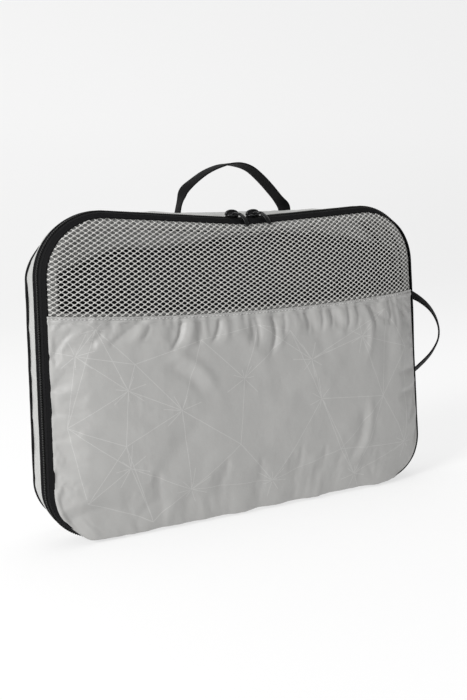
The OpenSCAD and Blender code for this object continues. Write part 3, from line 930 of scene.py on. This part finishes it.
def coil(name, sign, shift, body, replaces):
    """One side of the zip's coil: a tooth a turn, its head reaching between those of the other side."""
    pitch = 2.4
    p, along, out = frames(COIL_Y, pitch)
    p = p + along * shift * pitch
    # along the tooth: reach from the zip's middle, height, half width
    stations = np.array([(4.1, 0.3, 0.6), (3.9, 0.85, 0.85), (2.9, 1.1, 0.85), (1.2, 1.15, 0.75),
                         (0.1, 1.2, 0.95), (-0.65, 1.1, 0.9), (-0.95, 0.75, 0.6)])
    a = np.arange(8) * math.tau / 8
    ys = sign * stations[:, 0]
    mid, wide = stations[:, 1], stations[:, 2]
    rings = (p[:, None, None, :] + np.array([0, 1, 0]) * ys[None, :, None, None]
             + out[:, None, None, :] * (mid[:, None] + 0.62 * np.sin(a)[None])[None, :, :, None]
             + along[:, None, None, :] * (wide[:, None] * 0.72 * np.cos(a)[None])[None, :, :, None])
    faces = [f for i in range(len(p)) for f in tube_faces(7, 8, 56 * i)]
    piece(name, rings, faces, mat["coil"], body, rings[..., [0, 2]], replaces)


coil("front_coil", -1, 0.0, "lid", ("front_zip_coil",))
coil("rear_coil", 1, 0.5, "box", ("rear_zip_coil",))

for label, y, body, lift in (("front_tape_stitches", -25.6, "lid", 0.5),
                             ("rear_tape_stitches", -7.2, "box", 0.72)):
    stitches(label, *frames(y, 3.3, lift), mat["thread"], body, "zip_tape")


# ---------------------------------------------------------------- back panel, and the near-black sheet of painted shade inside it
def back_base(us, ws):
    """Rest points of the back on a grid of shares across and up."""
    u, w = np.meshgrid(us, ws)
    z = BACK_INS[2] + (BODY_H - BACK_INS[1] - BACK_INS[2]) * w
    return panel_point(u * half_width(z, BACK_INS), z, REAR_Y, 1, BACK_BULGE, BACK_INS, False)


def back_grid():
    """The finished back, and its rest points for the UVs."""
    rows, cols = 62, 84
    ws, us = rising(rows), crossing(cols, 0.75, 1)
    base = back_base(us, ws)
    moves = np.zeros_like(base)
    moves = cloth_moves(base, pressure=1.2, cap=4.5, seed=71, growth=0.012)
    r, c = np.linspace(0, rows - 1, 150), np.linspace(0, cols - 1, 210)
    fine_w, fine_u = np.interp(r, np.arange(rows), ws), np.interp(c, np.arange(cols), us)
    fine = back_base(fine_u, fine_w)
    x, z = fine[..., 0], fine[..., 2]
    edge = np.minimum(np.minimum((1 - np.abs(fine_u))[None] * 220, z - 5), 332 - z)
    soft = (0.6 * noise(x, z, 30, 72) + 0.3 * noise(x, z, 12, 73)) * smooth(0, 14, edge)
    puck = 1.5 * noise(x, z, 10, 74) * np.exp(-edge / 9) * (1 - np.exp(-edge / 1.5))
    return tucked(fine + upsample(moves, r, c) + normals_of(fine) * (soft + puck)[..., None]), fine


back_points, back_flat = back_grid()
shell("back_cloth", back_points, 0.5, mat["shell"], "box", ("back_panel",),
      back_flat[..., [0, 2]])


def shade_lining_grid():
    """Painted shade: a near-black sheet that darkens the inside of the closed cube seen through the net. It
    hangs in front of the back and turns forward along the side walls.
    """
    u, w = np.meshgrid(np.linspace(1, -1, 90), np.linspace(0, 1, 66))
    top = 291 + 9 * smooth(-0.5, 0.4, u) - 44 * smooth(-0.5, -0.95, u) - 26 * smooth(0.7, 1, u)
    top = top + 3 * noise(u * 200, 0, 40, 81)
    z = 26 + (top - 26) * w
    x = np.sign(u) * half_width(z, (6.5, 40, 22)) * np.minimum(1, np.abs(u) / 0.88)
    belly = np.clip(1 - np.abs(u) ** 4, 0, 1) * np.clip(1 - np.abs(2 * w - 1) ** 6, 0, 1)
    depth = 10 * belly ** 0.6
    y = 28.2 - 26 * smooth(0.84, 1, np.abs(u)) - depth
    y = y - 2.2 * noise(x, z, 36, 82) * (depth / 10) - 0.8 * noise(x, z, 12, 83)
    return np.stack([x, y, z], -1)


# painted shade behind the net: this near-black sheet darkens the inside seen through the holes
shell("lining", shade_lining_grid(), 0.6, mat["lining"], "box", ("back_lining",), flip=True)


# ---------------------------------------------------------------- webbing
WEB_WIDE = 15.0


def rounded(a, p_cos, p_sin):
    """Cosine and sine of a, squared up by powers below 1."""
    c, s = np.cos(a), np.sin(a)
    return np.sign(c) * np.abs(c) ** p_cos, np.sign(s) * np.abs(s) ** p_sin


def web_section(thick):
    c, s = rounded(np.arange(16) * math.tau / 16, 0.35, 0.55)
    return np.stack([c * WEB_WIDE / 2, s * thick / 2], 1)


def webbing(name, route, place, body, replaces, twist):
    """Flat webbing along a route. twist gives its turn in degrees at shares of its length."""
    line, s = spline(route, 140)
    t = unit(np.gradient(line, axis=0))
    normal = np.stack([-t[:, 1], t[:, 0]], 1)
    share = s / s[-1]
    a = np.radians(np.interp(share, *zip(*twist)))
    a = np.convolve(np.pad(a, 6, "edge"), np.ones(13) / 13, "valid")
    section = web_section(2.0)
    wide = np.stack([normal[:, 0] * np.cos(a), np.sin(a), normal[:, 1] * np.cos(a)], 1)
    thin = np.stack([-normal[:, 0] * np.sin(a), np.cos(a), -normal[:, 1] * np.sin(a)], 1)
    centre = np.stack([line[:, 0], 0 * s, line[:, 1]], 1)
    cup = 0.5 * np.sin(np.pi * share)[:, None] * ((section[:, 0] / (WEB_WIDE / 2)) ** 2)[None]
    rings = (centre[:, None] + wide[:, None] * section[None, :, 0, None]
             + thin[:, None] * (section[None, :, 1] + cup)[..., None])
    loft(name, place(rings), s, mat["webbing"], body, replaces)


# routes of the webbing's middle: the top handle in X and Z, the side loop outward and up
HANDLE = [(-56, -6.5), (-54, 2), (-50.5, 12), (-47, 19.5), (-38, 28), (-19, 41), (2, 49),
          (21, 50.2), (37, 45.5), (51, 34.5), (64, 21), (74.5, 8.5), (81, 0), (82.5, -6.5)]
HANDLE_TWIST = [(0, 82), (0.05, 90), (0.1, 76), (0.14, 54), (0.2, 66), (0.35, 72), (0.46, 77),
                (0.52, 98), (0.6, 106), (0.7, 112), (0.82, 114), (0.93, 112), (0.985, 160), (1, 180)]
LOOP = [(0, 222), (8, 222), (24, 220), (41, 211), (55, 197), (63, 179), (63, 160), (53, 141),
        (37, 125), (21, 113), (8, 107), (0, 107)]
LOOP_TWIST = [(0, 0), (0.06, 22), (0.18, 54), (0.36, 72), (0.5, 80), (0.6, 74), (0.72, 64),
              (0.86, 62), (0.95, 30), (1, 0)]
LEAN = math.radians(28)


def at_handle(p):
    return p + np.array([0, 30.2, 335.3])


def at_loop(p):
    c, s = math.cos(LEAN), math.sin(LEAN)
    x, y = p[..., 0] * c + p[..., 1] * s, p[..., 1] * c - p[..., 0] * s
    return np.stack([x + 227.4, y + 30.2, p[..., 2]], -1)


webbing("handle_webbing", HANDLE, at_handle, "top_handle", ("top_handle",), HANDLE_TWIST)
webbing("loop_webbing", LOOP, at_loop, "side_loop", ("side_loop",), LOOP_TWIST)


def sewn_end(centre, run, wide_axis):
    """A short end of webbing sewn flat on the back over the rear binding."""
    section = web_section(1.25)
    steps = np.array([-4.5, -4.4, -4.0, -2, 0, 2, 4.0, 4.4, 4.5])
    size = np.array([0.4, 0.8, 1, 1, 1, 1, 1, 0.8, 0.4])
    rings = (np.array(centre)[None, None] + np.array(run)[None, None] * steps[:, None, None]
             + np.array(wide_axis)[None, None] * section[None, :, 0, None]
             + np.array([0, 1.0, 0])[None, None] * (section[None, :, 1] * size[:, None])[..., None])
    return rings, steps


def sewn_pair(name, ends, replaces):
    rings, faces, uvs = [], [], []
    for centre, run, axis in ends:
        r, s = sewn_end(centre, run, axis)
        faces += tube_faces(*r.shape[:2], sum(len(x) for x in rings))
        uvs.append(arc_uv(r, s).reshape(-1, 2))
        rings.append(r.reshape(-1, 3))
    piece(name, np.concatenate(rings), faces, mat["webbing"], "box", np.concatenate(uvs),
          replaces)


handle_ends = [((x, 32.2, 325.0), (0, 0, 1), (1, 0, 0)) for x in (-55, 80)]
loop_ends = [((221.5, 32.2, z), (1, 0, 0), (0, 0, 1)) for z in (222, 107)]
sewn_pair("handle_ends", handle_ends, ("top_handle_ends",))
sewn_pair("loop_ends", loop_ends, ("side_loop_ends",))
tack = []
for centre, run, axis in handle_ends + loop_ends:
    for k in np.linspace(-6, 6, 9):
        for lane in (-2.6, 2.6):
            at = np.array(centre) + np.array(axis) * k + np.array(run) * lane + np.array([0, 0.68, 0])
            tack.append((at, axis))
tack_p, tack_t = np.array([t[0] for t in tack]), np.array([t[1] for t in tack], float)
stitches("bar_tacks", tack_p, tack_t, np.tile([0.0, 1.0, 0.0], (len(tack), 1)), mat["thread"], "box",
         "webbing", 1.9, 0.5)


# ---------------------------------------------------------------- sliders and pulls
SLIDER_OFF, PIN_Z = 13.0, 5.15


def on_zip(side, p):
    """Takes points over the tape at a slider to their place on the cube."""
    length = TOP_CX - side * SLUMP_X
    a = math.atan(SLUMP_Z / length)
    x, z = SLUMP_X + side * SLIDER_OFF, BODY_H - 6 - SLUMP_Z * (1 - SLIDER_OFF / length)
    c, s = math.cos(a), side * math.sin(a)
    q = np.asarray(p, float)
    return np.stack([x + q[..., 0] * c - q[..., 2] * s, COIL_Y + q[..., 1],
                     z + q[..., 0] * s + q[..., 2] * c], -1)


def slider_layers(layers, n=40):
    """Rings of a slider's plate: (height, half length, half width, waist)."""
    a = np.arange(n) * math.tau / n
    c, s = rounded(a, 0.7, 0.75)
    back = np.clip(np.cos(a), -1, 0) ** 2
    return np.array([np.stack([c * half_l, s * half_w * (1 - waist * back), 0 * c + z], 1)
                     for z, half_l, half_w, waist in layers])


def solids(name, side, parts, material, body, replaces):
    """Capped tubes, given as stacks of rings over the tape, as one piece on the zip."""
    verts, faces = [], []
    for rings in parts:
        faces += tube_faces(*rings.shape[:2], sum(len(v) for v in verts))
        verts.append(rings.reshape(-1, 3))
    points = np.concatenate(verts)
    piece(name, on_zip(side, points), faces, material, body, points[:, :2], replaces)


def slider(side, label):
    """A slider: plates over and under the coil joined by a post, a hump, and the arch for the pull."""
    top = slider_layers([(2.1, 6.6, 4.6, 0.2), (2.15, 7.2, 5.2, 0.2), (2.6, 7.6, 5.6, 0.2),
                         (3.6, 7.5, 5.5, 0.2), (4.2, 7.0, 4.9, 0.2), (4.6, 5.6, 3.5, 0.15),
                         (4.75, 3.0, 1.8, 0.1), (4.8, 1.0, 0.6, 0)])
    low = slider_layers([(-2.8, 6.6, 4.6, 0.2), (-2.7, 7.3, 5.3, 0.2), (-1.6, 7.3, 5.3, 0.2),
                         (-1.45, 6.8, 4.8, 0.2)])
    post = slider_layers([(-1.6, 2.8, 0.75, 0), (2.3, 2.8, 0.75, 0)], 16)
    hump = slider_layers([(3.0, 6.4, 2.6, 0), (5.4, 6.4, 2.6, 0), (7.0, 5.7, 2.5, 0),
                          (7.9, 4.0, 2.1, 0), (8.2, 1.4, 1.0, 0)], 28)
    top[..., 0] *= -side
    low[..., 0] *= -side
    solids(label + "_slider_shell", side, [top, low, post, hump], mat["slider"], label + "_slider",
           (label + "_slider_body",))
    t = np.linspace(0, np.pi, 22)
    centre = np.stack([-7.0 * np.cos(t), 0 * t, 4.0 + 5.1 * np.sin(t) ** 0.7], 1)
    tangent = unit(np.gradient(centre, axis=0))
    normal = np.stack([-tangent[:, 2], 0 * t, tangent[:, 0]], 1)
    c, s = rounded(np.arange(12) * math.tau / 12, 0.6, 0.8)
    ring = (centre[:, None] + np.array([0, 2.5, 0]) * c[None, :, None]
            + normal[:, None] * (1.15 * s)[None, :, None])
    solids(label + "_slider_arch", side, [ring], mat["slider"], label + "_slider",
           (label + "_slider_bridge",))


def pull(side, label):
    """A pull that hangs from the arch, bends over the front edge of the zip and ends in a rounded tip."""
    yaw = math.radians(20)
    route = [(0, 0, PIN_Z), (3.3, -2.2, 6.3), (6.0, -5.8, 5.4), (8.2, -9.8, 2.8), (10.0, -13.4, -0.9),
             (11.2, -15.6, -5.2), (11.8, -16.8, -8.6)]
    centre = spline(route, 34)[0]
    t = np.linspace(0, 1, 34)
    tangent = unit(np.gradient(centre, axis=0))
    flat = unit(np.cross(tangent, [0, 0, 1]))
    up = unit(np.cross(flat, tangent))
    half = np.interp(t, [0, 0.08, 0.45, 0.8, 0.95, 1], [4.0, 4.5, 4.0, 3.5, 2.9, 1.6])
    hole = np.interp(t, [0, 0.03, 0.3, 0.42, 0.46, 1], [0.0, 2.6, 2.6, 1.8, 0, 0])
    thick = np.interp(t, [0, 0.05, 0.5, 0.9, 1], [0.6, 0.95, 1.1, 1.3, 0.6])
    parts = []
    a = np.arange(12) * math.tau / 12
    box_c, box_s = rounded(a, 0.6, 0.8)
    # two arms either side of the ring's hole, then the solid tab
    for k, sign in ((slice(0, 15), -1), (slice(0, 15), 1), (slice(14, 34), 0)):
        h = half[k]
        mid = sign * (h + hole[k]) / 2
        w = (h - hole[k]) / 2 if sign else h
        parts.append(centre[k][:, None] + flat[k][:, None] * (mid[:, None] + w[:, None] * box_c)[..., None]
                     + up[k][:, None] * (thick[k][:, None] * box_s)[..., None])
    pin_y = np.linspace(-3.6, 3.6, 8)[:, None]
    pin = np.stack([0.7 * np.cos(a) + 0 * pin_y, pin_y + 0 * a, PIN_Z + 0.7 * np.sin(a) + 0 * pin_y], -1)
    c, s = math.cos(yaw), math.sin(yaw)
    pin = np.stack([pin[..., 0] * c + pin[..., 1] * s, -pin[..., 0] * s + pin[..., 1] * c, pin[..., 2]], -1)
    solids(label + "_pull", side, parts + [pin], mat["pull"], label + "_pull", (label + "_pull_tab",))


for side, label in ((-1, "left"), (1, "right")):
    slider(side, label)
    pull(side, label)

for name in ("zip_end_left", "zip_end_right"):
    node = NODES[name]
    bevel = node.modifiers.new("soft_edges", "BEVEL")
    bevel.width, bevel.segments = 0.0004, 3
    node.data.materials.clear()
    node.data.materials.append(mat["binding"])


# ---------------------------------------------------------------- soft pieces
for soft in (lower, printed, seam_stitches, net, facing, hem):
    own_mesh(soft)


# ---------------------------------------------------------------- floor, light and world
WHITE = new_material("backdrop", (0.32, 0.32, 0.32), 0.9, Specular_IOR_Level=0.0,
                     Emission_Color=(1, 1, 1, 1), Emission_Strength=0.68)
sweep_t = np.linspace(0, 1, 40)
arc = np.clip((sweep_t - 0.4) / 0.3, 0, 1) * math.pi / 2
floor_y = np.where(sweep_t < 0.4, -6000 + 22000 * sweep_t, 2800 + 1200 * np.sin(arc))
floor_z = np.where(sweep_t < 0.4, 0, 1200 * (1 - np.cos(arc)))
floor_z = floor_z + np.clip(sweep_t - 0.7, 0, 1) * 16000
xs = np.array([-9000, 9000.0])
floor_grid = np.stack(np.broadcast_arrays(xs[:, None], floor_y, floor_z - 0.3), -1)
piece("backdrop", floor_grid, grid_faces(2, 40), WHITE, None, outward=False, stage=True)


def area_light(name, at, aim, size, power):
    data = bpy.data.lights.new(name, "AREA")
    data.energy, data.size = power, size
    obj = bpy.data.objects.new(name, data)
    obj.location = at
    obj.rotation_euler = (Vector(aim) - Vector(at)).to_track_quat("-Z", "Y").to_euler()
    bpy.context.scene.collection.objects.link(obj)


area_light("key", (-2.55, -1.1, 1.5), (0, 0, 0.2), 0.9, 74)
area_light("fill", (2.6, -2.4, 1.2), (0, 0, 0.2), 2.2, 3)
area_light("top", (0.2, 0.3, 2.6), (0, 0, 0.3), 1.8, 15)
world = bpy.data.worlds.new("studio")
bpy.context.scene.world = world
world.use_nodes = True
world.node_tree.nodes["Background"].inputs["Color"].default_value = (1, 1, 1, 1)
world.node_tree.nodes["Background"].inputs["Strength"].default_value = 0.34

bpy.context.view_layer.update()
